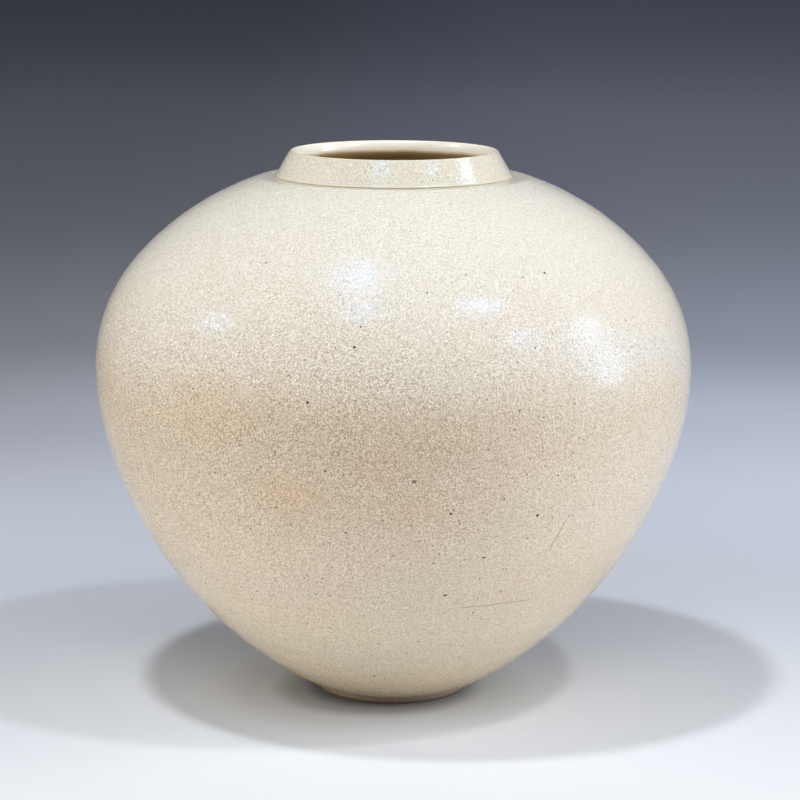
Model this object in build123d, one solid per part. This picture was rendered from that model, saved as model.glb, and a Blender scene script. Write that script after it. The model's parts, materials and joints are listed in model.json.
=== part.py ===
from build123d import *
import os
from math import atan2, cos, degrees, hypot, radians, sin, sqrt

# A thrown stoneware jar: two bowls luted rim to rim at the belly, a short leaning collar luted on a
# turned ledge, a small turned foot ring, a satin coat outside and a glossy liner inside.
# Millimetres. +Z is up, the origin is the middle of the foot on the surface that the jar stands on.

# Belly and walls, measured on the finished outer surface
BELLY_RADIUS = 136.0          # at the widest point
UPPER_BELLY_CURVE = 73.8      # radius of the tight turn above the widest point
UPPER_BELLY_SWEEP = 41.2      # degrees of that turn before the shoulder flattens
SHOULDER_CURVE = 127.8        # radius of the shoulder's dome
LOWER_BELLY_CURVE = 114.9     # radius of the turn below the widest point
LOWER_BELLY_SWEEP = 14.8      # degrees of that turn before the long lower wall
LOWER_WALL_CURVE = 190.1      # radius of the long lower wall

# Collar and mouth
COLLAR_RADIUS = 54.0          # outer edge where the collar stands on its ledge
COLLAR_HEIGHT = 11.75         # ledge to the crest of the lip
COLLAR_LEAN = 7.5             # how far the crest of the lip stands inside the collar's outer edge
LEDGE_WIDTH = 6.5             # flat ring turned on the shoulder round the collar
LIP_ROUND = 1.2               # radius of the rounded lip
THROAT_STEP = 0.7             # how far the narrowest point stands inside the lip's inner side
THROAT_ROLL = 7.5             # radius of the rolled inside edge of the mouth

# Foot
FOOT_RADIUS = 34.4            # outside of the bare foot ring
FOOT_RING_WIDTH = 9.0         # radial width of the foot ring
FOOT_HEIGHT = 4.3             # standing surface to the underside of the body
FOOT_EASE = 0.7               # rounding of the edges that the ring stands on
BASE_OVERHANG = 4.8           # how far the body's lower edge stands outside the foot ring

# Thicknesses
WALL = 6.0                    # fired clay wall
FLOOR = 8.0                   # fired clay floor
GLAZE = 0.5                   # each coat of glaze
SLIP = 0.6                    # each film of luting slip

# Places that follow from the sizes above
ledge_radius = COLLAR_RADIUS + LEDGE_WIDTH
base_radius = FOOT_RADIUS + BASE_OVERHANG
lip_radius = COLLAR_RADIUS - COLLAR_LEAN
throat_radius = lip_radius - LIP_ROUND - THROAT_STEP
liner_depth = WALL + 2 * GLAZE


def polar(centre, radius, angle):
    """The point at an angle, in degrees, on a circle."""
    return (centre[0] + radius * cos(radians(angle)), centre[1] + radius * sin(radians(angle)))


def rise_at(centre, radius, reach):
    """How far above its centre a circle stands at a given distance from the jar's axis."""
    return sqrt(radius**2 - (reach - centre[0]) ** 2)


def reach_at(centre, radius, level):
    """How far from the jar's axis the outer side of a circle stands at a given level."""
    return centre[0] + sqrt(radius**2 - (level - centre[1]) ** 2)


def bearing(centre, point):
    """The angle, in degrees, at which a point is seen from a circle's centre."""
    return degrees(atan2(point[1] - centre[1], point[0] - centre[0]))


def arc(centre, radius, start, end):
    """An arc between two angles."""
    return CenterArc(centre, radius, start, end - start)


# Centres of the four wall curves. The lower two fix how high the belly stands above the foot.
lower_belly_reach = BELLY_RADIUS - LOWER_BELLY_CURVE
upper_belly_reach = BELLY_RADIUS - UPPER_BELLY_CURVE
lower_step = LOWER_WALL_CURVE - LOWER_BELLY_CURVE
lower_wall_reach = lower_belly_reach - lower_step * cos(radians(LOWER_BELLY_SWEEP))
lower_wall_above_belly = lower_step * sin(radians(LOWER_BELLY_SWEEP))
base_drop = sqrt(LOWER_WALL_CURVE**2 - (base_radius - lower_wall_reach) ** 2)
belly_level = FOOT_HEIGHT + base_drop - lower_wall_above_belly

lower_belly = (lower_belly_reach, belly_level)
lower_wall = (lower_wall_reach, belly_level + lower_wall_above_belly)
upper_belly = (upper_belly_reach, belly_level)
shoulder = polar(upper_belly, UPPER_BELLY_CURVE - SHOULDER_CURVE, UPPER_BELLY_SWEEP)

# Levels and the circles of the mouth
ledge_level = shoulder[1] + rise_at(shoulder, SHOULDER_CURVE, ledge_radius)
top_level = ledge_level + COLLAR_HEIGHT
lip = (lip_radius, top_level - LIP_ROUND)
roll_reach = throat_radius + THROAT_ROLL
roll_drop = sqrt((THROAT_ROLL - LIP_ROUND) ** 2 - (roll_reach - lip_radius) ** 2)
roll = (roll_reach, lip[1] - roll_drop)
crest_angle = 90.0
roll_joins_lip = bearing(roll, lip)

# The collar's outer face runs from its edge on the ledge to a tangent on the lip's circle
collar_edge = (COLLAR_RADIUS, ledge_level)
edge_to_lip = hypot(lip[0] - collar_edge[0], lip[1] - collar_edge[1])
edge_tangent = sqrt(edge_to_lip**2 - LIP_ROUND**2)
face_angle = bearing(collar_edge, lip) - degrees(atan2(LIP_ROUND, edge_tangent))
normal_angle = face_angle - 90.0
run_per_rise = cos(radians(face_angle)) / sin(radians(face_angle))

# Levels of the joints between the clay sections
seam_low = belly_level - SLIP / 2
seam_high = belly_level + SLIP / 2
seat_level = ledge_level - GLAZE
collar_foot = seat_level + SLIP


def region(*lines):
    """A flat region of the jar's half section, closed by the given lines."""
    return Plane.XZ * make_face(lines)


def wall_arcs(inset, low_level, high_angle):
    """The four wall curves, at a depth below the outer surface, from a level up to a shoulder angle."""
    low_radius = LOWER_WALL_CURVE - inset
    low_point = (reach_at(lower_wall, low_radius, low_level), low_level)
    return [
        arc(lower_wall, low_radius, bearing(lower_wall, low_point), -LOWER_BELLY_SWEEP),
        arc(lower_belly, LOWER_BELLY_CURVE - inset, -LOWER_BELLY_SWEEP, 0.0),
        arc(upper_belly, UPPER_BELLY_CURVE - inset, 0.0, UPPER_BELLY_SWEEP),
        arc(shoulder, SHOULDER_CURVE - inset, UPPER_BELLY_SWEEP, high_angle),
    ]


def outside(inset):
    """Everything within the outer surface, or within the clay's outer face below its glaze."""
    level = ledge_level - inset
    ledge_reach = reach_at(shoulder, SHOULDER_CURVE - inset, level)
    walls = wall_arcs(inset, FOOT_HEIGHT, bearing(shoulder, (ledge_reach, level)))
    base_edge = walls[0] @ 0
    ledge_edge = walls[-1] @ 1
    lip_arc = arc(lip, LIP_ROUND - inset, normal_angle, crest_angle)
    face_top = lip_arc @ 0
    crest = lip_arc @ 1
    face_foot = (face_top.X - run_per_rise * (face_top.Y - level), level)
    return region(
        Line((0, FOOT_HEIGHT), base_edge),
        *walls,
        Line(ledge_edge, face_foot),
        Line(face_foot, face_top),
        lip_arc,
        Line(crest, (0, crest.Y)),
        Line((0, crest.Y), (0, FOOT_HEIGHT)),
    )


def inside(backing):
    """The hollow within the liner's surface, or within the clay when backed by the liner's depth."""
    inset = liner_depth - backing
    floor_level = FOOT_HEIGHT + FLOOR + GLAZE - backing
    ceiling = shoulder[1] + rise_at(shoulder, SHOULDER_CURVE - inset, throat_radius)
    walls = wall_arcs(inset, floor_level, bearing(shoulder, (throat_radius, ceiling)))
    chamber = region(
        Line((0, floor_level), walls[0] @ 0),
        *walls,
        Line(walls[-1] @ 1, (0, ceiling)),
        Line((0, ceiling), (0, floor_level)),
    )
    lip_arc = arc(lip, LIP_ROUND - backing, crest_angle, roll_joins_lip)
    roll_arc = arc(roll, THROAT_ROLL - backing, roll_joins_lip, normal_angle + 180.0)
    crest = lip_arc @ 0
    throat_end = roll_arc @ 1
    passage_low = seat_level - 2 * liner_depth
    passage_foot = (throat_end.X - run_per_rise * (throat_end.Y - passage_low), passage_low)
    passage_top = top_level + LIP_ROUND
    passage = region(
        Line((0, passage_low), passage_foot),
        Line(passage_foot, throat_end),
        roll_arc,
        lip_arc,
        Line(crest, (crest.X, passage_top)),
        Line((crest.X, passage_top), (0, passage_top)),
        Line((0, passage_top), (0, passage_low)),
    )
    return chamber + passage


def turned(section):
    """The solid that a half section makes on the wheel."""
    return revolve(section, axis=Axis.Z)


def strip(reach, width, low, high):
    """A rectangle of the half section, from a reach outwards and between two levels."""
    upright = Plane.XZ * Rectangle(width, high - low, align=(Align.MIN, Align.MIN))
    return Pos(reach, 0, low) * upright


def band(section, low, high):
    """The part of a half section between two levels."""
    return section & strip(0.0, 2 * BELLY_RADIUS, low, high)


def ring(low, high):
    """The half section of the foot ring's width between two levels."""
    return strip(FOOT_RADIUS - FOOT_RING_WIDTH, FOOT_RING_WIDTH, low, high)


def foot_ring():
    """The bare ring that the jar stands on, its standing edges eased."""
    plain = turned(ring(0.0, FOOT_HEIGHT - SLIP))
    standing_edges = plain.edges().group_by(Axis.Z)[0].filter_by(GeomType.CIRCLE)
    return fillet(standing_edges, FOOT_EASE)


clay = outside(GLAZE) - inside(GLAZE)

pieces = {
    "foot_ring": foot_ring(),
    "foot_slip": turned(ring(FOOT_HEIGHT - SLIP, FOOT_HEIGHT)),
    "lower_bowl": turned(band(clay, FOOT_HEIGHT, seam_low)),
    "belly_slip": turned(band(clay, seam_low, seam_high)),
    "upper_bowl": turned(band(clay, seam_high, seat_level)),
    "neck_slip": turned(band(clay, seat_level, collar_foot)),
    "neck_collar": turned(band(clay, collar_foot, top_level)),
    "outer_glaze": turned(outside(0.0) - outside(GLAZE) - inside(GLAZE)),
    "inner_glaze": turned(inside(GLAZE) - inside(0.0)),
}

os.makedirs("parts", exist_ok=True)
for name, solid in pieces.items():
    export_step(solid, f"parts/{name}.step")

print(f"height {top_level:.2f}, belly {2 * BELLY_RADIUS:.1f} wide at level {belly_level:.2f}")
print(f"ledge at level {ledge_level:.2f}, mouth {2 * throat_radius:.1f} wide, lip {2 * lip_radius:.1f} wide")
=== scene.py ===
import json
from math import atan2, cos, degrees, hypot, radians, sin, sqrt, tan

import bpy
from mathutils import Matrix, Vector


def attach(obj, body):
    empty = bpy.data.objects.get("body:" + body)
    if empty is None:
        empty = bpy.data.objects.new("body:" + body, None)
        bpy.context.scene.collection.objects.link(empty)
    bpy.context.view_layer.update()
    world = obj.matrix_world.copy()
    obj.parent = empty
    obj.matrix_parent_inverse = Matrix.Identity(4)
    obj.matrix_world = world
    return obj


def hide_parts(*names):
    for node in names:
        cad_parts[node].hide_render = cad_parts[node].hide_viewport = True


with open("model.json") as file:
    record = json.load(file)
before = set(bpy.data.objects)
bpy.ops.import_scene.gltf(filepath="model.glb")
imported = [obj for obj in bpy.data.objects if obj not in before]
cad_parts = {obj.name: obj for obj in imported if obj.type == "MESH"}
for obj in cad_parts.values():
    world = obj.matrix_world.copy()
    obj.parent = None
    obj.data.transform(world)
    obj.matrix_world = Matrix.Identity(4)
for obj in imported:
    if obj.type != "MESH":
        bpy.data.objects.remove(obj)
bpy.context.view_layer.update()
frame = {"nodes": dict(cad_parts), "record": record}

MM = 0.001

# Outer form of the jar, as thrown: curves are radii, sweeps are degrees
BELLY_RADIUS = 136.0 * MM
UPPER_BELLY_CURVE = 73.8 * MM
UPPER_BELLY_SWEEP = 41.2
SHOULDER_CURVE = 127.8 * MM
LOWER_BELLY_CURVE = 114.9 * MM
LOWER_BELLY_SWEEP = 14.8
LOWER_WALL_CURVE = 190.1 * MM

# Collar and mouth
COLLAR_RADIUS = 54.0 * MM
COLLAR_HEIGHT = 11.75 * MM
COLLAR_LEAN = 7.5 * MM
LEDGE_WIDTH = 6.5 * MM
LIP_ROUND = 1.2 * MM
LIP_CREST = 90.0                  # where the lip's circle is highest, in degrees
THROAT_STEP = 0.7 * MM
THROAT_ROLL = 7.5 * MM

# Foot and thicknesses
FOOT_RADIUS = 34.4 * MM
FOOT_HEIGHT = 4.3 * MM
BASE_OVERHANG = 4.8 * MM
WALL = 6.0 * MM
FLOOR = 8.0 * MM
GLAZE = 0.5 * MM
GLAZE_SEAT = 0.02 * MM            # how far the back of a coat stands off the clay

# How finely the coats are drawn
TURN_STEPS = 384
FINE_STEP = 2.3 * MM
COARSE_STEP = 6.0 * MM
ROUND_STEPS = 7
WELD = 0.002 * MM                 # points nearer than this become one
NEAREST = 0.01 * MM               # points of a section nearer than this count as one
SETTLING_ROUNDS = 30              # tries that find where the liner's throat meets its ceiling

# Marks of the wheel: patches of sway across a metre, and the fold that stays a crisp edge, in degrees
SWAY_SCALE = 11.0
CRISP_FOLD = 42.0

# Camera, as the photograph was taken
PHOTO_WIDTH = 800
FOCAL_PIXELS = 2839.0
SENSOR_WIDTH = 36.0
EYE = Vector((3.1, -1283.25, 374.5)) * MM
PITCH_DOWN = 10.58
ROLL = 0.22


def polar(centre, radius, angle):
    """The point at an angle, in degrees, on a circle of the half section."""
    return (centre[0] + radius * cos(radians(angle)), centre[1] + radius * sin(radians(angle)))


def bearing(centre, point):
    """The angle, in degrees, at which a point is seen from a circle's centre."""
    return degrees(atan2(point[1] - centre[1], point[0] - centre[0]))


def reach_at(centre, radius, level):
    """How far from the jar's axis the outer side of a circle stands at a level."""
    return centre[0] + sqrt(radius**2 - (level - centre[1]) ** 2)


def level_at(centre, radius, reach):
    """The level of the upper side of a circle at a distance from the jar's axis."""
    return centre[1] + sqrt(radius**2 - (reach - centre[0]) ** 2)


def arc(centre, radius, start, end, step):
    """Points along an arc of the half section, about a step apart."""
    count = max(2, round(abs(radians(end - start)) * radius / step))
    return [polar(centre, radius, start + (end - start) * i / count) for i in range(count + 1)]


def straight(start, end, step):
    """Points along a straight of the half section, about a step apart."""
    count = max(1, round(hypot(end[0] - start[0], end[1] - start[1]) / step))
    return [tuple(a + (b - a) * i / count for a, b in zip(start, end)) for i in range(count + 1)]


def eased(before, corner, after):
    """Points of a soft corner that leaves one straight and joins the next."""
    points = []
    for i in range(ROUND_STEPS + 1):
        t = i / ROUND_STEPS
        points.append(tuple(
            (1 - t) ** 2 * a + 2 * t * (1 - t) * b + t**2 * c for a, b, c in zip(before, corner, after)
        ))
    return points


def without_doubles(points):
    """The points in order, leaving out each that repeats the one before it."""
    kept = [points[0]]
    for point in points[1:]:
        if hypot(point[0] - kept[-1][0], point[1] - kept[-1][1]) > NEAREST:
            kept.append(point)
    return kept


class JarForm:
    """Centres, levels and angles that follow from the jar's sizes, in its half section."""

    def __init__(self):
        base_radius = FOOT_RADIUS + BASE_OVERHANG
        lower_step = LOWER_WALL_CURVE - LOWER_BELLY_CURVE
        lower_wall_reach = BELLY_RADIUS - LOWER_BELLY_CURVE - lower_step * cos(radians(LOWER_BELLY_SWEEP))
        lower_wall_above = lower_step * sin(radians(LOWER_BELLY_SWEEP))
        base_drop = sqrt(LOWER_WALL_CURVE**2 - (base_radius - lower_wall_reach) ** 2)
        self.belly_level = FOOT_HEIGHT + base_drop - lower_wall_above
        self.lower_wall = (lower_wall_reach, self.belly_level + lower_wall_above)
        self.lower_belly = (BELLY_RADIUS - LOWER_BELLY_CURVE, self.belly_level)
        self.upper_belly = (BELLY_RADIUS - UPPER_BELLY_CURVE, self.belly_level)
        self.shoulder = polar(self.upper_belly, UPPER_BELLY_CURVE - SHOULDER_CURVE, UPPER_BELLY_SWEEP)
        self.ledge_level = level_at(self.shoulder, SHOULDER_CURVE, COLLAR_RADIUS + LEDGE_WIDTH)
        self.top_level = self.ledge_level + COLLAR_HEIGHT
        lip_radius = COLLAR_RADIUS - COLLAR_LEAN
        self.lip = (lip_radius, self.top_level - LIP_ROUND)
        roll_reach = lip_radius - LIP_ROUND - THROAT_STEP + THROAT_ROLL
        roll_drop = sqrt((THROAT_ROLL - LIP_ROUND) ** 2 - (roll_reach - lip_radius) ** 2)
        self.roll = (roll_reach, self.lip[1] - roll_drop)
        self.roll_joins_lip = bearing(self.roll, self.lip)
        edge = (COLLAR_RADIUS, self.ledge_level)
        edge_to_lip = hypot(self.lip[0] - edge[0], self.lip[1] - edge[1])
        tangent = sqrt(edge_to_lip**2 - LIP_ROUND**2)
        face_angle = bearing(edge, self.lip) - degrees(atan2(LIP_ROUND, tangent))
        self.face_normal = face_angle - 90.0
        self.face_run = 1.0 / tan(radians(face_angle))

    def walls(self, inset, low_level, high_angle, step):
        """The wall's four curves at a depth below the outer surface, from a level up to a shoulder angle."""
        low_radius = LOWER_WALL_CURVE - inset
        low = (reach_at(self.lower_wall, low_radius, low_level), low_level)
        low_angle = bearing(self.lower_wall, low)
        return (
            arc(self.lower_wall, low_radius, low_angle, -LOWER_BELLY_SWEEP, step)
            + arc(self.lower_belly, LOWER_BELLY_CURVE - inset, -LOWER_BELLY_SWEEP, 0.0, step)
            + arc(self.upper_belly, UPPER_BELLY_CURVE - inset, 0.0, UPPER_BELLY_SWEEP, step)
            + arc(self.shoulder, SHOULDER_CURVE - inset, UPPER_BELLY_SWEEP, high_angle, step)
        )

    def face_at(self, inset, level):
        """The point of the collar's outer face at a level, at a depth below its surface."""
        tangent = polar(self.lip, LIP_ROUND - inset, self.face_normal)
        return (tangent[0] - self.face_run * (tangent[1] - level), level)

    def curve_at(self, level):
        """Centre and radius of the wall's curve at a level."""
        if level >= self.belly_level + UPPER_BELLY_CURVE * sin(radians(UPPER_BELLY_SWEEP)):
            return self.shoulder, SHOULDER_CURVE
        if level >= self.belly_level:
            return self.upper_belly, UPPER_BELLY_CURVE
        if level >= self.belly_level - LOWER_BELLY_CURVE * sin(radians(LOWER_BELLY_SWEEP)):
            return self.lower_belly, LOWER_BELLY_CURVE
        return self.lower_wall, LOWER_WALL_CURVE

    def on_skin(self, round_from_front, level):
        """The point of the jar's outer surface at an angle round it and a level, in millimetres."""
        if level * MM > self.ledge_level:
            reach = self.face_at(0.0, level * MM)[0] / MM
        else:
            reach = reach_at(*self.curve_at(level * MM), level * MM) / MM
        angle = radians(round_from_front)
        return (reach * sin(angle), -reach * cos(angle), level)

    def facing(self, round_from_front, level):
        """The way that the jar's outer surface faces at an angle round it and a level in millimetres."""
        if level * MM > self.ledge_level:
            up = sin(radians(self.face_normal))
        else:
            centre, radius = self.curve_at(level * MM)
            up = (level * MM - centre[1]) / radius
        out = sqrt(1 - up**2)
        angle = radians(round_from_front)
        return Vector((out * sin(angle), -out * cos(angle), up))


jar = JarForm()


def outer_coat_section():
    """Half section of the satin coat: its skin from the base up to the lip, and its back down again."""
    base_round = 0.45 * MM
    ledge_ease = 1.6 * MM
    crease_depth = 0.16 * MM
    crease_height = 0.22 * MM
    heel_flare = 0.22 * MM
    heel_height = 2.2 * MM
    face_swell = 0.12 * MM
    level = jar.ledge_level

    break_point = (COLLAR_RADIUS + LEDGE_WIDTH, level)
    ledge_start = (break_point[0] - ledge_ease, level)
    stop_angle = bearing(jar.shoulder, break_point) - degrees(ledge_ease / SHOULDER_CURVE)
    base_corner = (reach_at(jar.lower_wall, LOWER_WALL_CURVE, FOOT_HEIGHT), FOOT_HEIGHT)
    walls = jar.walls(0.0, FOOT_HEIGHT + base_round, stop_angle, FINE_STEP)
    skin = eased((base_corner[0] - base_round, FOOT_HEIGHT), base_corner, walls[0])
    skin += walls
    skin += eased(walls[-1], break_point, ledge_start)

    crease_mouth = (COLLAR_RADIUS + crease_depth, level)
    crease_back = (COLLAR_RADIUS - crease_depth, level)
    crease_foot = (crease_back[0], level + 0.3 * crease_height)
    crease_top = (COLLAR_RADIUS - crease_depth / 2, level + crease_height)
    heel = (COLLAR_RADIUS + heel_flare / 2, level + crease_height)
    skin += straight(ledge_start, crease_mouth, FINE_STEP / 2)
    skin += eased(crease_mouth, crease_back, crease_foot)
    skin += eased(crease_foot, crease_top, heel)

    heel_middle = jar.face_at(0.0, level + 0.5 * heel_height)
    heel_swell = (heel_middle[0] + heel_flare, heel_middle[1] - 0.2 * heel_height)
    face_foot = jar.face_at(0.0, level + heel_height)
    lip_edge = polar(jar.lip, LIP_ROUND, jar.face_normal)
    face_middle = jar.face_at(0.0, (face_foot[1] + lip_edge[1]) / 2)
    swollen = (face_middle[0] + face_swell, face_middle[1] + face_swell / 2)
    skin += eased(heel, heel_swell, face_foot)
    skin += eased(face_foot, swollen, lip_edge)
    skin += arc(jar.lip, LIP_ROUND, jar.face_normal, LIP_CREST, LIP_ROUND / ROUND_STEPS)

    depth = GLAZE - GLAZE_SEAT
    back_level = level - depth
    back_edge = (reach_at(jar.shoulder, SHOULDER_CURVE - depth, back_level), back_level)
    back = jar.walls(depth, FOOT_HEIGHT, bearing(jar.shoulder, back_edge), COARSE_STEP)
    back.append(jar.face_at(depth, back_level))
    back += arc(jar.lip, LIP_ROUND - depth, jar.face_normal, LIP_CREST, LIP_ROUND / 3)
    return without_doubles(skin), without_doubles(back[::-1])


def liner_line(backing, step):
    """The liner's line at a depth behind its surface, from the lip down to the middle of the floor."""
    inset = WALL + 2 * GLAZE - backing
    floor_level = FOOT_HEIGHT + FLOOR + GLAZE - backing
    throat_angle = jar.face_normal + 180.0
    roll_end = polar(jar.roll, THROAT_ROLL - backing, throat_angle)
    corner = roll_end
    for _ in range(SETTLING_ROUNDS):
        level = level_at(jar.shoulder, SHOULDER_CURVE - inset, corner[0])
        corner = (roll_end[0] - jar.face_run * (roll_end[1] - level), level)
    walls = jar.walls(inset, floor_level, bearing(jar.shoulder, corner), step)
    return (
        arc(jar.lip, LIP_ROUND - backing, LIP_CREST, jar.roll_joins_lip, LIP_ROUND / 4)
        + arc(jar.roll, THROAT_ROLL - backing, jar.roll_joins_lip, throat_angle, step / 3)
        + straight(roll_end, corner, step / 2)
        + walls[::-1]
        + straight(walls[0], (0.0, floor_level), step)
    )


def liner_section():
    """Half section of the liner: its skin from the lip down to the floor, and its back up again."""
    skin = liner_line(0.0, FINE_STEP * 1.5)
    back = liner_line(GLAZE - GLAZE_SEAT, COARSE_STEP)
    return without_doubles(skin), without_doubles(back[::-1])


def section_mesh(name, skin, back):
    """The half section as a closed line of edges, with the skin marked so that only it is worked."""
    marked = [(point, 1.0) for point in skin] + [(point, 0.0) for point in back]
    marked.reverse()
    places = [(reach - COLLAR_RADIUS, -level, 0.0) for (reach, level), _ in marked]
    edges = [(i, (i + 1) % len(places)) for i in range(len(places))]
    mesh = bpy.data.meshes.new(name)
    mesh.from_pydata(places, edges, [])
    marks = mesh.attributes.new("skin", "FLOAT", "POINT")
    marks.data.foreach_set("value", [mark for _, mark in marked])
    return mesh


class NodeSheet:
    """A node tree to build on. Each call adds a step."""

    def __init__(self, tree):
        self.tree = tree

    def feed(self, socket, value):
        """Gives a socket a value, or joins another socket to it."""
        if isinstance(value, bpy.types.NodeSocket):
            self.tree.links.new(value, socket)
        elif isinstance(value, tuple) and len(value) == 3 and socket.type == "RGBA":
            socket.default_value = (*value, 1.0)
        else:
            socket.default_value = value

    def node(self, kind, inputs=None, **settings):
        """A new node with its settings, and its inputs fed by name or place."""
        made = self.tree.nodes.new(kind)
        for key, value in settings.items():
            setattr(made, key, value)
        for key, value in (inputs or {}).items():
            self.feed(made.inputs[key], value)
        return made

    def maths(self, operation, *values, clamp=False):
        """The result of an operation on some values."""
        inputs = dict(enumerate(values))
        return self.node("ShaderNodeMath", inputs, operation=operation, use_clamp=clamp).outputs[0]

    def product(self, first, *others):
        """The values multiplied together."""
        for other in others:
            first = self.maths("MULTIPLY", first, other)
        return first


def wheel_tree():
    """Geometry nodes that turn a half section round the jar's axis and leave the marks of the hand on it."""
    tree = bpy.data.node_groups.new("wheel_throwing", "GeometryNodeTree")
    face = tree.interface
    face.new_socket("Geometry", in_out="INPUT", socket_type="NodeSocketGeometry")
    for label, kind in (
        ("Wheel Radius", "NodeSocketFloat"),
        ("Turn Steps", "NodeSocketInt"),
        ("Ripple Depth", "NodeSocketFloat"),
        ("Ripple Pitch", "NodeSocketFloat"),
        ("Sway Depth", "NodeSocketFloat"),
        ("Seed", "NodeSocketFloat"),
        ("Sharp Angle", "NodeSocketFloat"),
        ("Glaze", "NodeSocketMaterial"),
    ):
        face.new_socket(label, in_out="INPUT", socket_type=kind)
    face.new_socket("Geometry", in_out="OUTPUT", socket_type="NodeSocketGeometry")
    sheet = NodeSheet(tree)
    start = sheet.node("NodeGroupInput").outputs

    # The section, turned about the axis
    section = sheet.node("GeometryNodeMeshToCurve", {"Mesh": start["Geometry"]})
    circle = sheet.node("GeometryNodeCurvePrimitiveCircle", {
        "Radius": start["Wheel Radius"], "Resolution": start["Turn Steps"],
    }, mode="RADIUS")
    upright = sheet.node("GeometryNodeSetCurveNormal", {"Curve": circle.outputs["Curve"]}, mode="Z_UP")
    sweep = sheet.node("GeometryNodeCurveToMesh", {
        "Curve": upright.outputs["Curve"], "Profile Curve": section.outputs["Curve"],
    })
    merge = sheet.node("GeometryNodeMergeByDistance", {"Geometry": sweep.outputs["Mesh"], "Distance": WELD})

    # Spiral ripples and a slow sway that sink into the skin
    whole_turn = radians(360)
    place = sheet.node("GeometryNodeInputPosition").outputs[0]
    x, y, z = sheet.node("ShaderNodeSeparateXYZ", {0: place}).outputs
    turn = sheet.maths("DIVIDE", sheet.maths("ARCTAN2", y, x), whole_turn)
    climb = sheet.maths("ADD", sheet.maths("DIVIDE", z, start["Ripple Pitch"]), turn)
    wave = sheet.maths("SINE", sheet.maths("MULTIPLY", climb, whole_turn))
    ripple = sheet.maths("MULTIPLY_ADD", wave, 0.5, 0.5)
    sway = sheet.node("ShaderNodeTexNoise", {
        "Vector": place, "W": start["Seed"], "Scale": SWAY_SCALE, "Detail": 1.0,
    }, noise_dimensions="4D").outputs["Fac"]
    sink = sheet.maths("ADD", sheet.product(ripple, start["Ripple Depth"]),
                       sheet.product(sway, start["Sway Depth"]))
    skin = sheet.node("GeometryNodeInputNamedAttribute", {"Name": "skin"}, data_type="FLOAT")
    sink = sheet.product(sink, skin.outputs["Attribute"], -1.0)
    normal = sheet.node("GeometryNodeInputNormal").outputs[0]
    inwards = sheet.node("ShaderNodeVectorMath", {0: normal, "Scale": sink}, operation="SCALE")
    worked = sheet.node("GeometryNodeSetPosition", {
        "Geometry": merge.outputs["Geometry"], "Offset": inwards.outputs[0],
    })

    # Smooth faces, crisp folds and the glaze
    smooth = sheet.node("GeometryNodeSetShadeSmooth", {"Geometry": worked.outputs["Geometry"]}, domain="FACE")
    fold = sheet.node("GeometryNodeInputMeshEdgeAngle").outputs["Unsigned Angle"]
    crisp = sheet.node("GeometryNodeSetShadeSmooth", {
        "Geometry": smooth.outputs["Geometry"],
        "Selection": sheet.maths("GREATER_THAN", fold, start["Sharp Angle"]),
        "Shade Smooth": False,
    }, domain="EDGE")
    realised = sheet.node("GeometryNodeRealizeInstances", {"Geometry": crisp.outputs["Geometry"]})
    finish = sheet.node("GeometryNodeSetMaterial", {
        "Geometry": realised.outputs["Geometry"], "Material": start["Glaze"],
    })
    sheet.node("NodeGroupOutput", {"Geometry": finish.outputs["Geometry"]})
    return tree


def thrown(name, section, tree, values):
    """Turns a half section on the wheel and returns the finished piece as a plain mesh."""
    piece = bpy.data.objects.new(name, section_mesh(name, *section))
    bpy.context.scene.collection.objects.link(piece)
    wheel = piece.modifiers.new("wheel", "NODES")
    wheel.node_group = tree
    sockets = {item.name: item.identifier for item in tree.interface.items_tree if item.in_out == "INPUT"}
    for label, value in values.items():
        wheel[sockets[label]] = value
    depsgraph = bpy.context.evaluated_depsgraph_get()
    mesh = bpy.data.meshes.new_from_object(piece.evaluated_get(depsgraph))
    piece.modifiers.clear()
    piece.data = mesh
    mesh.name = name
    return piece


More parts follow.
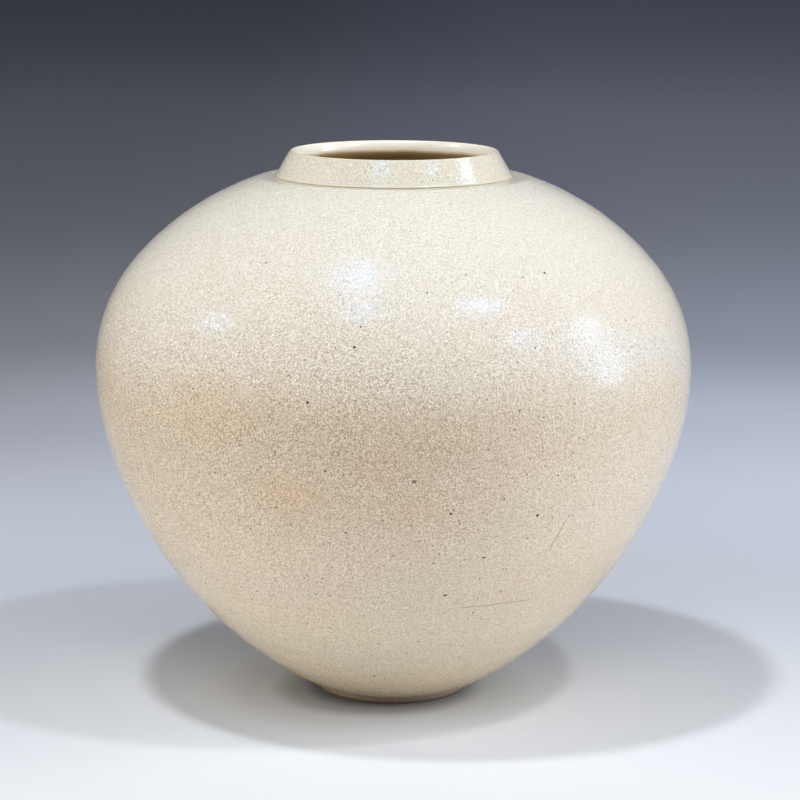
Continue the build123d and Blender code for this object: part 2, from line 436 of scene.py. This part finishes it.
class Recipe(NodeSheet):
    """A material made of nodes, with places in millimetres. Most calls return the socket of their result."""

    def __init__(self, name):
        self.material = bpy.data.materials.new(name)
        self.material.use_nodes = True
        super().__init__(self.material.node_tree)
        self.tree.nodes.clear()
        self.surface = self.node("ShaderNodeBsdfPrincipled")
        self.node("ShaderNodeOutputMaterial", {"Surface": self.surface.outputs[0]})
        coordinates = self.node("ShaderNodeTexCoord").outputs["Object"]
        self.place = self.vector("SCALE", coordinates, scale=1.0 / MM)
        self.x, self.y, self.height = self.node("ShaderNodeSeparateXYZ", {0: self.place}).outputs
        flat = self.node("ShaderNodeCombineXYZ", {0: self.x, 1: self.y}).outputs[0]
        self.reach = self.vector("LENGTH", flat)

    def set(self, label, value):
        """Sets an input of the finished surface."""
        self.feed(self.surface.inputs[label], value)

    def vector(self, operation, first, second=None, scale=None):
        """The result of an operation on vectors, which for some operations is a plain number."""
        inputs = {0: first, 1: second, "Scale": scale}
        given = {key: value for key, value in inputs.items() if value is not None}
        made = self.node("ShaderNodeVectorMath", given, operation=operation)
        return made.outputs["Value" if operation in ("LENGTH", "DOT_PRODUCT") else "Vector"]

    def distance(self, centre):
        """How far a point of the surface lies from a centre, in millimetres."""
        return self.vector("LENGTH", self.vector("SUBTRACT", self.place, centre))

    def off(self, value, middle):
        """How far a value lies from a middle, either way."""
        return self.maths("ABSOLUTE", self.maths("SUBTRACT", value, middle))

    def rise(self, value, low, high, bottom=0.0, top=1.0):
        """A soft step from bottom to top as the value passes from low to high."""
        inputs = dict(enumerate((value, low, high, bottom, top)))
        return self.node("ShaderNodeMapRange", inputs, interpolation_type="SMOOTHSTEP").outputs[0]

    def mix(self, amount, first, second, blend="MIX"):
        """The first colour with an amount of the second mixed in."""
        inputs = {0: amount, 6: first, 7: second}
        return self.node("ShaderNodeMix", inputs, data_type="RGBA", blend_type=blend).outputs[2]

    def tint(self, amount, ground, colour):
        """The ground with an amount of a colour multiplied into it."""
        return self.mix(amount, ground, colour, "MULTIPLY")

    def ramp(self, value, stops):
        """Colour by value, through (value, colour) stops that need not lie between 0 and 1."""
        low, high = stops[0][0], stops[-1][0]
        span = self.node("ShaderNodeMapRange", dict(enumerate((value, low, high, 0.0, 1.0))))
        made = self.node("ShaderNodeValToRGB", {0: span.outputs[0]})
        made.color_ramp.interpolation = "EASE"
        bands = made.color_ramp.elements
        while len(bands) < len(stops):
            bands.new(0.5)
        for band, (at, colour) in zip(bands, stops):
            band.position = (at - low) / (high - low)
            band.color = (*colour, 1.0)
        return made.outputs[0]

    def noise(self, size, detail=2.0, roughness=0.5, seed=0.0, place=None):
        """Cloudy noise from 0 to 1 whose patches are about a size across, in millimetres."""
        return self.node("ShaderNodeTexNoise", {
            "Vector": place or self.place,
            "W": seed,
            "Scale": 1.0 / size,
            "Detail": detail,
            "Roughness": roughness,
        }, noise_dimensions="4D").outputs["Fac"]

    def swing(self, size, roughness=0.5, seed=0.0):
        """Cloudy noise that swings about 0."""
        return self.maths("SUBTRACT", self.noise(size, roughness=roughness, seed=seed), 0.5)

    def specks(self, spacing, radius, seed, soft=0.5):
        """Dots up to a radius, about a spacing apart, in millimetres: 1 in a dot, 0 outside."""
        apart = self.node("ShaderNodeTexVoronoi", {
            "Vector": self.place, "W": seed, "Scale": 1.0 / spacing,
        }, voronoi_dimensions="4D", feature="F1").outputs["Distance"]
        return self.rise(apart, radius * (1 - soft) / spacing, radius / spacing, 1.0, 0.0)

    def spot(self, centre, radius, flat=1.0, soft=0.6):
        """One dot about a centre, in millimetres, pressed flat by a factor: 1 in the dot, 0 outside."""
        apart = self.vector("SUBTRACT", self.place, centre)
        apart = self.vector("MULTIPLY", apart, (1.0, 1.0, flat))
        return self.rise(self.vector("LENGTH", apart), radius * (1 - soft), radius, 1.0, 0.0)

    def stroke(self, start, end, width):
        """A thin line between two points, in millimetres: 1 along its middle, 0 beyond its width."""
        run = Vector(end) - Vector(start)
        apart = self.vector("SUBTRACT", self.place, tuple(start))
        along = self.vector("DOT_PRODUCT", apart, tuple(run / run.length_squared))
        share = self.maths("ADD", along, 0.0, clamp=True)
        nearest = self.vector("SCALE", tuple(run), scale=share)
        off = self.vector("LENGTH", self.vector("SUBTRACT", apart, nearest))
        return self.rise(off, width / 4, width, 1.0, 0.0)

    def bump(self, height, depth, normal=None):
        """A surface relief of a depth in millimetres, over another relief if one is given."""
        inputs = {"Strength": 1.0, "Distance": depth * MM, "Height": height}
        if normal is not None:
            inputs["Normal"] = normal
        return self.node("ShaderNodeBump", inputs).outputs[0]


# Belts of tone up the satin coat: level in millimetres and colour. They are partly the glaze's own tone and
# partly painted light: each level's brightness is set to how lit it looks, so the lowest belts are painted
# paler for light bounced up from the floor.
GLAZE_BELTS_AND_PAINTED_LIGHT = (
    (5.0, (0.920, 0.750, 0.500)),
    (40.0, (0.805, 0.682, 0.498)),
    (80.0, (0.757, 0.630, 0.470)),
    (115.0, (0.702, 0.576, 0.419)),
    (145.0, (0.640, 0.521, 0.374)),
    (175.0, (0.655, 0.588, 0.485)),
    (205.0, (0.650, 0.612, 0.525)),
    (238.0, (0.650, 0.624, 0.542)),
)

# Tints that are multiplied into the satin coat
FLUSH_TINT = (1.02, 0.91, 0.86)
# Painted light: the right side of the belly is painted paler and bluer, as if more strongly lit from the
# right.
PAINTED_LIT_SIDE_TINT = (1.04, 1.10, 1.19)
COLLAR_TINT = (0.95, 0.93, 0.88)
CREASE_TINT = (0.95, 0.90, 0.78)
GRAIN_TINT = (2.65, 3.3, 4.0)     # how strongly the grain swings red, green and blue

# Warm flushes in the coat: degrees round from the front, level, radius and strength
FLUSHES = (
    (-19, 117, 26.0, 0.8),
    (-2, 131, 20.0, 0.7),
    (4, 112, 18.0, 0.5),
    (-34, 150, 30.0, 0.4),
)

# Crumbs scattered in the coat: spacing, radius, seed, softness, strength and colour
CRUMBS = (
    (2.3, 0.62, 1.0, 0.8, 0.30, (0.30, 0.21, 0.13)),
    (3.0, 0.62, 4.0, 0.5, 0.60, (0.16, 0.11, 0.07)),
    (4.0, 0.64, 2.0, 0.4, 0.75, (0.10, 0.068, 0.042)),
)

# Larger iron specks: degrees round from the front, level, radius in millimetres and flatness
IRON_SPECKS = (
    (-7, 181, 0.75, 1.0),
    (-15, 158, 0.75, 1.0),
    (-6, 189, 0.55, 1.0),
    (-12, 129, 0.65, 1.0),
    (-9, 101, 0.6, 1.0),
    (11, 110, 0.7, 1.0),
    (13, 105, 0.5, 1.0),
    (29, 106, 0.85, 1.0),
    (12, 70, 1.15, 2.2),
    (19, 88, 1.1, 2.6),
    (-7, 22, 0.8, 1.3),
    (16, 208, 0.65, 2.4),
    (29, 206, 0.7, 2.2),
    (35, 207, 0.7, 1.0),
    (7, 202, 0.6, 1.0),
    (-30, 211, 0.7, 2.2),
    (27, 179, 0.5, 1.0),
)
IRON_COLOUR = (0.05, 0.035, 0.025)
CRISP_EDGE = 0.35                 # share of a speck's radius over which it fades

# A burst bubble with a pale rim below it: degrees round from the front and level
BUBBLE = (3.9, 125.0)
BUBBLE_COLOUR = (0.25, 0.19, 0.14)
BUBBLE_RIM_DROP = 1.3
BUBBLE_RIM_COLOUR = (0.90, 0.86, 0.78)

# A hairline scratch, from end to end: degrees round from the front and level
SCRATCH = ((36.3, 101.8), (34.2, 87.1))
SCRATCH_WIDTH = 0.35
SCRATCH_STRENGTH = 0.75
SCRATCH_COLOUR = (0.30, 0.22, 0.15)

# A short turning line on the front: level, and its left and right ends
TURNING_LINE = (62.8, 25.0, 64.0)
TURNING_LINE_COLOUR = (0.36, 0.27, 0.18)

# How the glazes shine
GLAZE_IOR = 1.5
SATIN_SHINE = 0.14
SATIN_SHINE_TINT = (0.10, 0.46, 1.0)

# Tones of the liner: depth below the crest of the lip and colour. The lip's cream is painted a little
# brighter, the brown band a few millimetres down is painted shade in the throat, and the deeper tones are
# painted shade inside the jar.
LINER_TONES_AND_PAINTED_SHADE = (
    (220.0, (0.60, 0.53, 0.41)),
    (60.0, (0.50, 0.41, 0.28)),
    (25.0, (0.36, 0.26, 0.14)),
    (9.0, (0.31, 0.19, 0.07)),
    (6.0, (0.36, 0.24, 0.09)),
    (5.0, (0.76, 0.62, 0.42)),
    (4.0, (0.90, 0.83, 0.68)),
    (1.5, (0.85, 0.815, 0.695)),
)
LINER_CLOUD_TINT = (0.86, 0.82, 0.76)
LINER_SPECK_COLOUR = (0.16, 0.10, 0.06)

# Bare clay and fired slip: pale grains, dark grains and the grains' size
STONEWARE = ((0.66, 0.555, 0.43), (0.53, 0.43, 0.32), 0.8)
FIRED_SLIP = ((0.55, 0.45, 0.34), (0.43, 0.34, 0.25), 0.5)
CLAY_SPECK_COLOUR = (0.16, 0.10, 0.07)
TURNED_TINT = (0.80, 0.76, 0.72)

# How the foot darkens towards its standing edge: height and tint. It is partly toasted bare clay and partly
# painted contact shade.
TOAST_AND_CONTACT_SHADE = (
    (0.0, (0.30, 0.23, 0.19)),
    (0.8, (0.38, 0.31, 0.27)),
    (1.8, (0.72, 0.67, 0.63)),
    (3.6, (1.0, 1.0, 1.0)),
)


def glaze_ground(glaze):
    """The coat's colour: soft belts up the jar that are partly painted light, warm flushes, a right side
    painted paler as if more lit, and a browner collar.
    """
    belt_sway = 34.0
    level = glaze.maths("ADD", glaze.height, glaze.product(glaze.swing(70.0, seed=3.1), belt_sway))
    # The belts hold painted light as well as tone: the lowest are painted paler for light bounced up from the
    # floor.
    ground = glaze.ramp(level, GLAZE_BELTS_AND_PAINTED_LIGHT)

    waist = glaze.product(glaze.rise(level, 60.0, 100.0), glaze.rise(level, 170.0, 140.0))
    flush = glaze.product(glaze.rise(glaze.noise(34.0, seed=8.0), 0.5, 0.7, 0.0, 0.15), waist)
    for round_from_front, height, radius, strength in FLUSHES:
        spot = glaze.spot(jar.on_skin(round_from_front, height), radius, flat=1.3, soft=1.0)
        flush = glaze.maths("MAXIMUM", flush, glaze.product(spot, strength))
    ground = glaze.tint(flush, ground, FLUSH_TINT)

    # Painted light: paler and bluer towards the right, below the shoulder and above the foot.
    to_right = glaze.rise(glaze.x, 10.0, 100.0)
    below_shoulder = glaze.rise(level, 195.0, 160.0)
    above_foot = glaze.rise(level, 60.0, 120.0)
    ground = glaze.tint(glaze.product(to_right, below_shoulder, above_foot), ground, PAINTED_LIT_SIDE_TINT)

    ledge = jar.ledge_level / MM
    ground = glaze.tint(glaze.rise(glaze.height, ledge, ledge + 1.0), ground, COLLAR_TINT)
    near_level = glaze.rise(glaze.off(glaze.height, ledge + 0.15), 0.6, 0.2)
    near_collar = glaze.rise(glaze.off(glaze.reach, COLLAR_RADIUS / MM), 1.2, 0.4)
    return glaze.tint(glaze.product(near_level, near_collar), ground, CREASE_TINT), level


def glaze_grain(glaze, ground, level):
    """Fine brown grain that lies thicker in patches, scattered crumbs, and clear edges at the collar."""
    top = jar.top_level / MM
    ledge = jar.ledge_level / MM
    heel_low = glaze.rise(glaze.height, ledge - 0.3, ledge + 0.1)
    heel_high = glaze.rise(glaze.height, ledge + 1.9, ledge + 1.1)
    off_heel = glaze.maths("SUBTRACT", 1.0, glaze.product(heel_low, heel_high))
    clear = glaze.product(glaze.rise(glaze.height, top - 0.4, top - 1.6, 0.15, 1.0), off_heel)

    calmer_shoulder = glaze.rise(level, 215.0, 160.0, 0.54, 1.0)
    calmer_foot = glaze.rise(level, 10.0, 150.0, 0.48, 1.0)
    calmer_right = glaze.rise(glaze.x, 110.0, -20.0, 0.66, 1.0)
    patch = glaze.rise(glaze.noise(9.0, roughness=0.6, seed=6.0), 0.35, 0.65, 0.8, 1.1)
    amount = glaze.product(patch, calmer_shoulder, calmer_foot, calmer_right, clear)
    darkest = -0.2
    palest = 0.15
    swing = glaze.maths("MAXIMUM", glaze.swing(0.55, roughness=0.6, seed=7.0), darkest)
    swing = glaze.product(glaze.maths("MINIMUM", swing, palest), amount)
    grain = glaze.vector("ADD", glaze.vector("SCALE", GRAIN_TINT, scale=swing), (1.0, 1.0, 1.0))
    ground = glaze.tint(1.0, ground, grain)

    fewer_above = glaze.product(clear, glaze.rise(level, 205.0, 165.0, 0.5, 1.0))
    for spacing, radius, seed, soft, strength, colour in CRUMBS:
        crumbs = glaze.product(glaze.specks(spacing, radius, seed, soft), fewer_above, strength)
        ground = glaze.mix(crumbs, ground, colour)
    return ground


def glaze_marks(glaze, ground):
    """Iron specks and the few small marks that the coat carries."""
    iron = glaze.specks(spacing=30.0, radius=0.6, seed=3.0)
    for round_from_front, height, radius, flat in IRON_SPECKS:
        speck = glaze.spot(jar.on_skin(round_from_front, height), radius, flat, CRISP_EDGE)
        iron = glaze.maths("MAXIMUM", iron, speck)
    ground = glaze.mix(iron, ground, IRON_COLOUR)

    around, height = BUBBLE
    hollow = glaze.spot(jar.on_skin(around, height), radius=1.25, flat=1.2, soft=CRISP_EDGE)
    rim = glaze.spot(jar.on_skin(around, height - BUBBLE_RIM_DROP), radius=0.6)
    ground = glaze.mix(hollow, ground, BUBBLE_COLOUR)
    ground = glaze.mix(rim, ground, BUBBLE_RIM_COLOUR)

    scratch = glaze.stroke(*(jar.on_skin(*end) for end in SCRATCH), SCRATCH_WIDTH)
    ground = glaze.mix(glaze.product(scratch, SCRATCH_STRENGTH), ground, SCRATCH_COLOUR)

    height, left, right = TURNING_LINE
    line = glaze.rise(glaze.off(glaze.height, height), 0.1, 0.5, 0.45, 0.0)
    on_front = glaze.rise(glaze.y, 0.0, -20.0)
    from_left = glaze.rise(glaze.x, left, left + 6.0)
    to_right = glaze.rise(glaze.x, right, right - 10.0)
    line = glaze.product(line, on_front, from_left, to_right)
    return glaze.mix(line, ground, TURNING_LINE_COLOUR), iron


def satin_glaze():
    """Satin cream coat: soft tonal belts that are partly painted light, a right side painted paler, fine
    brown grain, dull iron specks and an orange-peel skin.
    """
    glaze = Recipe("satin_cream_glaze")
    ground, level = glaze_ground(glaze)
    ground = glaze_grain(glaze, ground, level)
    ground, iron = glaze_marks(glaze, ground)
    orange_peel = glaze.noise(1.4, detail=1.0, roughness=0.4, seed=5.0)
    glaze.set("Base Color", ground)
    glaze.set("Roughness", glaze.rise(glaze.noise(2.0, seed=4.0), 0.3, 0.7, 0.10, 0.14))
    glaze.set("IOR", GLAZE_IOR)
    glaze.set("Specular IOR Level", glaze.rise(iron, 0.0, 1.0, SATIN_SHINE, 0.0))
    glaze.set("Specular Tint", SATIN_SHINE_TINT)
    glaze.set("Normal", glaze.bump(orange_peel, 0.20))
    return glaze.material


def liner_glaze():
    """Glossy liner: a cream lip painted a little brighter, a brown band of painted shade in the throat,
    painted interior shade paler than the band further down, with few specks.
    """
    glaze = Recipe("glossy_cream_liner")
    band_sway = 2.0
    level = glaze.maths("ADD", glaze.height, glaze.product(glaze.swing(14.0, seed=4.0), band_sway))
    top = jar.top_level / MM
    # Painted shade: the liner darkens with depth below the lip, with a brown band in the throat.
    ground = glaze.ramp(level, [(top - depth, colour) for depth, colour in LINER_TONES_AND_PAINTED_SHADE])
    cloud = glaze.rise(glaze.noise(18.0, detail=3.0, seed=1.0), 0.3, 0.7, 0.0, 0.25)
    ground = glaze.tint(cloud, ground, LINER_CLOUD_TINT)
    ground = glaze.mix(glaze.specks(spacing=7.0, radius=0.4, seed=5.0), ground, LINER_SPECK_COLOUR)
    glaze.set("Base Color", ground)
    glaze.set("Roughness", glaze.rise(glaze.noise(6.0, seed=2.0), 0.3, 0.7, 0.14, 0.22))
    glaze.set("IOR", GLAZE_IOR)
    glaze.set("Normal", glaze.bump(glaze.noise(4.0, seed=3.0), 0.06))
    return glaze.material


def fired_clay(name, pale, dark, grit_size):
    """Bare fired clay: sandy grains, turning lines, a standing edge darkened by toasting and by painted
    contact shade, and a matt, gritty face.
    """
    clay = Recipe(name)
    grit = clay.noise(grit_size, detail=3.0, roughness=0.6, seed=1.0)
    section = clay.node("ShaderNodeCombineXYZ", {0: clay.reach, 2: clay.height}).outputs[0]
    lines = clay.noise(0.9, seed=2.0, place=section)
    ground = clay.mix(clay.rise(grit, 0.35, 0.65), dark, pale)
    ground = clay.mix(clay.specks(spacing=2.2, radius=0.35, seed=2.0), ground, CLAY_SPECK_COLOUR)
    ground = clay.tint(clay.rise(lines, 0.4, 0.65, 0.0, 0.5), ground, TURNED_TINT)
    # Partly toasted clay, partly painted contact shade: darker towards the standing edge.
    clay.set("Base Color", clay.tint(1.0, ground, clay.ramp(clay.height, TOAST_AND_CONTACT_SHADE)))
    clay.set("Roughness", clay.rise(grit, 0.3, 0.7, 0.75, 0.92))
    clay.set("Normal", clay.bump(lines, 0.10, clay.bump(grit, 0.12)))
    return clay.material


def dress_nodes():
    """Gives the clay sections and the slip films that keep their own solids their finishes."""
    finishes = {
        "bare_clay": fired_clay("bare_stoneware", *STONEWARE),
        "luting_slip": fired_clay("fired_slip", *FIRED_SLIP),
    }
    slots = {row["node"]: row["material_slot"] for row in frame["record"]["subparts"]}
    for name, piece in frame["nodes"].items():
        finish = finishes.get(slots[name])
        if finish:
            piece.data.materials.clear()
            piece.data.materials.append(finish)


def make_coats():
    """The two coats of glaze, which stand for their plain solids."""
    tree = wheel_tree()
    shared = {"Wheel Radius": COLLAR_RADIUS, "Sharp Angle": radians(CRISP_FOLD)}
    outer = thrown("satin_outer_coat", outer_coat_section(), tree, {
        **shared,
        "Turn Steps": TURN_STEPS,
        "Ripple Depth": 0.06 * MM,
        "Ripple Pitch": 9.0 * MM,
        "Sway Depth": 0.3 * MM,
        "Seed": 2.0,
        "Glaze": satin_glaze(),
    })
    liner = thrown("glossy_liner", liner_section(), tree, {
        **shared,
        "Turn Steps": TURN_STEPS // 2,
        "Ripple Depth": 0.12 * MM,
        "Ripple Pitch": 12.0 * MM,
        "Sway Depth": 0.1 * MM,
        "Seed": 5.0,
        "Glaze": liner_glaze(),
    })
    for piece, node, slot in ((outer, "outer_glaze", "satin_glaze"), (liner, "inner_glaze", "liner_glaze")):
        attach(piece, "root")
        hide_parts(node)


# The floor, from its middle to an edge, in metres
FLOOR_HALF = 12.0

# Painted light fall-off on the floor from front to back: distance behind the jar's axis in millimetres and
# colour, pale in front, dimmer and bluer behind
FLOOR_PAINTED_FALLOFF = (
    (-220.0, (0.66, 0.685, 0.70)),
    (-60.0, (0.65, 0.68, 0.72)),
    (240.0, (0.515, 0.55, 0.61)),
)

# Painted light fall-off: how the floor dims away from the jar, distance and tint
FLOOR_PAINTED_DIMMING = (
    (450.0, (1.0, 1.0, 1.0)),
    (684.0, (0.88, 0.88, 0.88)),
    (1040.0, (0.62, 0.62, 0.62)),
    (1540.0, (0.61, 0.61, 0.61)),
    (3640.0, (1.05, 1.05, 1.05)),
)

# Painted shade: the floor is darker about a place below each wall lamp, on the left and on the right, front
# and back
WALL_PLACE = (2300.0, 500.0, 0.0)
WALL_PAINTED_SHADE = (0.20, 0.20, 0.21)

# Painted light: behind the jar the floor is warmer on the left and cooler on the right, distance to the right
# and tint
FLOOR_PAINTED_SIDE_LIGHT = (
    (-450.0, (0.84, 0.82, 0.81)),
    (450.0, (1.18, 1.20, 1.30)),
)

# Contact shadow round the foot: distance from its middle and tint
CONTACT_MIDDLE = (-8.0, -8.0, 0.0)
CONTACT_SHADE = (
    (24.0, (0.36, 0.33, 0.31)),
    (36.0, (0.56, 0.54, 0.52)),
    (52.0, (0.85, 0.84, 0.83)),
    (85.0, (1.0, 1.0, 1.0)),
)
FLOOR_CLOUD_COLOUR = (0.40, 0.42, 0.46)


def pale_floor():
    """Plain matt floor with painted light: pale in front, dimmer and bluer behind, painted shade below the
    wall lamps, a painted contact shadow round the foot, and faintly cloudy.
    """
    floor = Recipe("pale_floor")
    mirrored = floor.vector("ABSOLUTE", floor.place)
    from_walls = floor.vector("LENGTH", floor.vector("SUBTRACT", mirrored, WALL_PLACE))
    # Painted light fall-off away from the jar, and painted shade below the wall lamps.
    painted_dimming = floor.ramp(floor.reach, FLOOR_PAINTED_DIMMING)
    painted_dimming = floor.mix(floor.rise(from_walls, 1950.0, 700.0), painted_dimming, WALL_PAINTED_SHADE)
    ground = floor.tint(1.0, floor.ramp(floor.y, FLOOR_PAINTED_FALLOFF), painted_dimming)
    # Painted side light behind the jar.
    ground = floor.tint(floor.rise(floor.y, 150.0, 700.0), ground, floor.ramp(floor.x, FLOOR_PAINTED_SIDE_LIGHT))
    ground = floor.tint(1.0, ground, floor.ramp(floor.distance(CONTACT_MIDDLE), CONTACT_SHADE))
    cloud = floor.rise(floor.noise(260.0, detail=3.0, seed=1.0), 0.3, 0.7, 0.0, 0.05)
    floor.set("Base Color", floor.mix(cloud, ground, FLOOR_CLOUD_COLOUR))
    floor.set("Roughness", 0.9)
    floor.set("Specular IOR Level", 0.0)
    return floor.material


def make_floor():
    """A wide plain floor under the jar."""
    corners = [(x * FLOOR_HALF, y * FLOOR_HALF, 0) for x, y in ((-1, -1), (1, -1), (1, 1), (-1, 1))]
    mesh = bpy.data.meshes.new("floor")
    mesh.from_pydata(corners, [], [(0, 1, 2, 3)])
    mesh.materials.append(pale_floor())
    floor = bpy.data.objects.new("floor", mesh)
    bpy.context.scene.collection.objects.link(floor)


# Soft lamps, aimed at the belly, that the glaze does not mirror: name, degrees round from the front with
# right positive, degrees up, distance, width, watts and colour
LAMPS = (
    ("lamp_over_left", -47.9, 74.4, 1.82, 0.16, 13.8, (0.97, 1.0, 1.03)),
    ("lamp_over_right", 56.7, 60.3, 1.98, 0.16, 9.0, (1.0, 1.0, 1.0)),
    ("lamp_right", 86.7, 26.2, 1.69, 1.00, 6.6, (1.0, 1.0, 1.0)),
    ("lamp_left_wall", -75.0, 20.0, 2.2, 1.8, 28.8, (1.0, 0.98, 0.95)),
    ("lamp_right_wall", 75.0, 20.0, 2.2, 1.8, 26.0, (0.95, 0.98, 1.05)),
    ("lamp_front", 0.0, 35.0, 2.0, 1.2, 10.2, (1.0, 1.0, 1.02)),
)

# Small windows that only shine in the glaze, each hung so that the camera sees its glint at a place on the
# jar: name, degrees round from the front, level in millimetres, distance, width, watts, beam and colour
OPEN_BEAM = 180.0
NARROW_BEAM = 10.0
GLINTS = (
    ("glint_over_left", -7.8, 207.6, 2.0, 0.38, 16.8, OPEN_BEAM, (0.5, 0.8, 1.0)),
    ("glint_over_left_low", -6.4, 194.6, 2.0, 0.32, 11.0, OPEN_BEAM, (0.8, 0.9, 1.0)),
    ("glint_over_right", 17.6, 196.6, 2.0, 0.32, 17.0, OPEN_BEAM, (0.9, 0.95, 0.95)),
    ("glint_over_right_low", 24.2, 183.0, 2.0, 0.16, 8.0, OPEN_BEAM, (1.0, 1.0, 1.0)),
    ("glint_right_high", 39.8, 185.5, 2.0, 0.36, 8.5, OPEN_BEAM, (1.0, 1.0, 0.9)),
    ("glint_right", 41.3, 175.5, 2.0, 0.80, 11.0, OPEN_BEAM, (1.0, 1.0, 1.0)),
    ("glint_right_low", 43.3, 164.8, 2.0, 0.42, 7.0, OPEN_BEAM, (1.0, 1.0, 0.95)),
    ("glint_left", -36.5, 187.0, 2.0, 0.26, 8.0, OPEN_BEAM, (1.0, 1.0, 1.0)),
    ("glint_collar", 39.5, 243.2, 0.45, 0.13, 0.014, NARROW_BEAM, (1.0, 1.0, 1.0)),
)
WORLD_COLOUR = (0.80, 0.80, 1.0)
WORLD_STRENGTH = 0.085


def hang_lamp(name, place, aim, width, watts, colour, beam=OPEN_BEAM):
    """A round area lamp at a place, facing the way it is aimed, that the camera itself does not see."""
    lamp = bpy.data.lights.new(name, "AREA")
    lamp.shape = "DISK"
    lamp.size = width
    lamp.energy = watts
    lamp.color = colour
    lamp.spread = radians(beam)
    holder = bpy.data.objects.new(name, lamp)
    holder.location = place
    holder.rotation_euler = aim.to_track_quat("-Z", "Y").to_euler()
    holder.visible_camera = False
    bpy.context.scene.collection.objects.link(holder)
    return holder


def light_room():
    """Soft lamps round the jar, the windows that glint in its glaze and an even dim room."""
    target = Vector((0.0, 0.0, jar.belly_level))
    for name, round_from_front, up, distance, width, watts, colour in LAMPS:
        a, e = radians(round_from_front), radians(up)
        out = Vector((sin(a) * cos(e), -cos(a) * cos(e), sin(e)))
        lamp = hang_lamp(name, target + out * distance, -out, width, watts, colour)
        lamp.visible_glossy = False
    for name, round_from_front, level, distance, width, watts, beam, colour in GLINTS:
        place = Vector(jar.on_skin(round_from_front, level)) * MM
        facing = jar.facing(round_from_front, level)
        to_eye = (EYE - place).normalized()
        out = 2 * facing.dot(to_eye) * facing - to_eye
        lamp = hang_lamp(name, place + out * distance, -out, width, watts, colour, beam)
        lamp.visible_diffuse = False
    world = bpy.data.worlds.new("dim_room")
    world.use_nodes = True
    background = world.node_tree.nodes["Background"]
    background.inputs["Color"].default_value = (*WORLD_COLOUR, 1.0)
    background.inputs["Strength"].default_value = WORLD_STRENGTH
    bpy.context.scene.world = world
    bpy.context.scene.view_settings.view_transform = "Standard"


def make_camera():
    """The camera, where the photograph was taken from."""
    data = bpy.data.cameras.new("camera")
    data.sensor_width = SENSOR_WIDTH
    data.lens = FOCAL_PIXELS / PHOTO_WIDTH * SENSOR_WIDTH
    data.clip_start = 0.05
    data.clip_end = 60.0
    camera = bpy.data.objects.new("camera", data)
    pitch, roll = radians(PITCH_DOWN), radians(ROLL)
    forward = Vector((0.0, cos(pitch), -sin(pitch)))
    level_right = Vector((1.0, 0.0, 0.0))
    level_up = Vector((0.0, sin(pitch), cos(pitch)))
    right = cos(roll) * level_right + sin(roll) * level_up
    up = cos(roll) * level_up - sin(roll) * level_right
    turn = Matrix((right, up, -forward)).transposed()
    camera.matrix_world = Matrix.Translation(EYE) @ turn.to_4x4()
    bpy.context.scene.collection.objects.link(camera)
    bpy.context.scene.camera = camera


dress_nodes()
make_coats()
make_floor()
light_room()
make_camera()
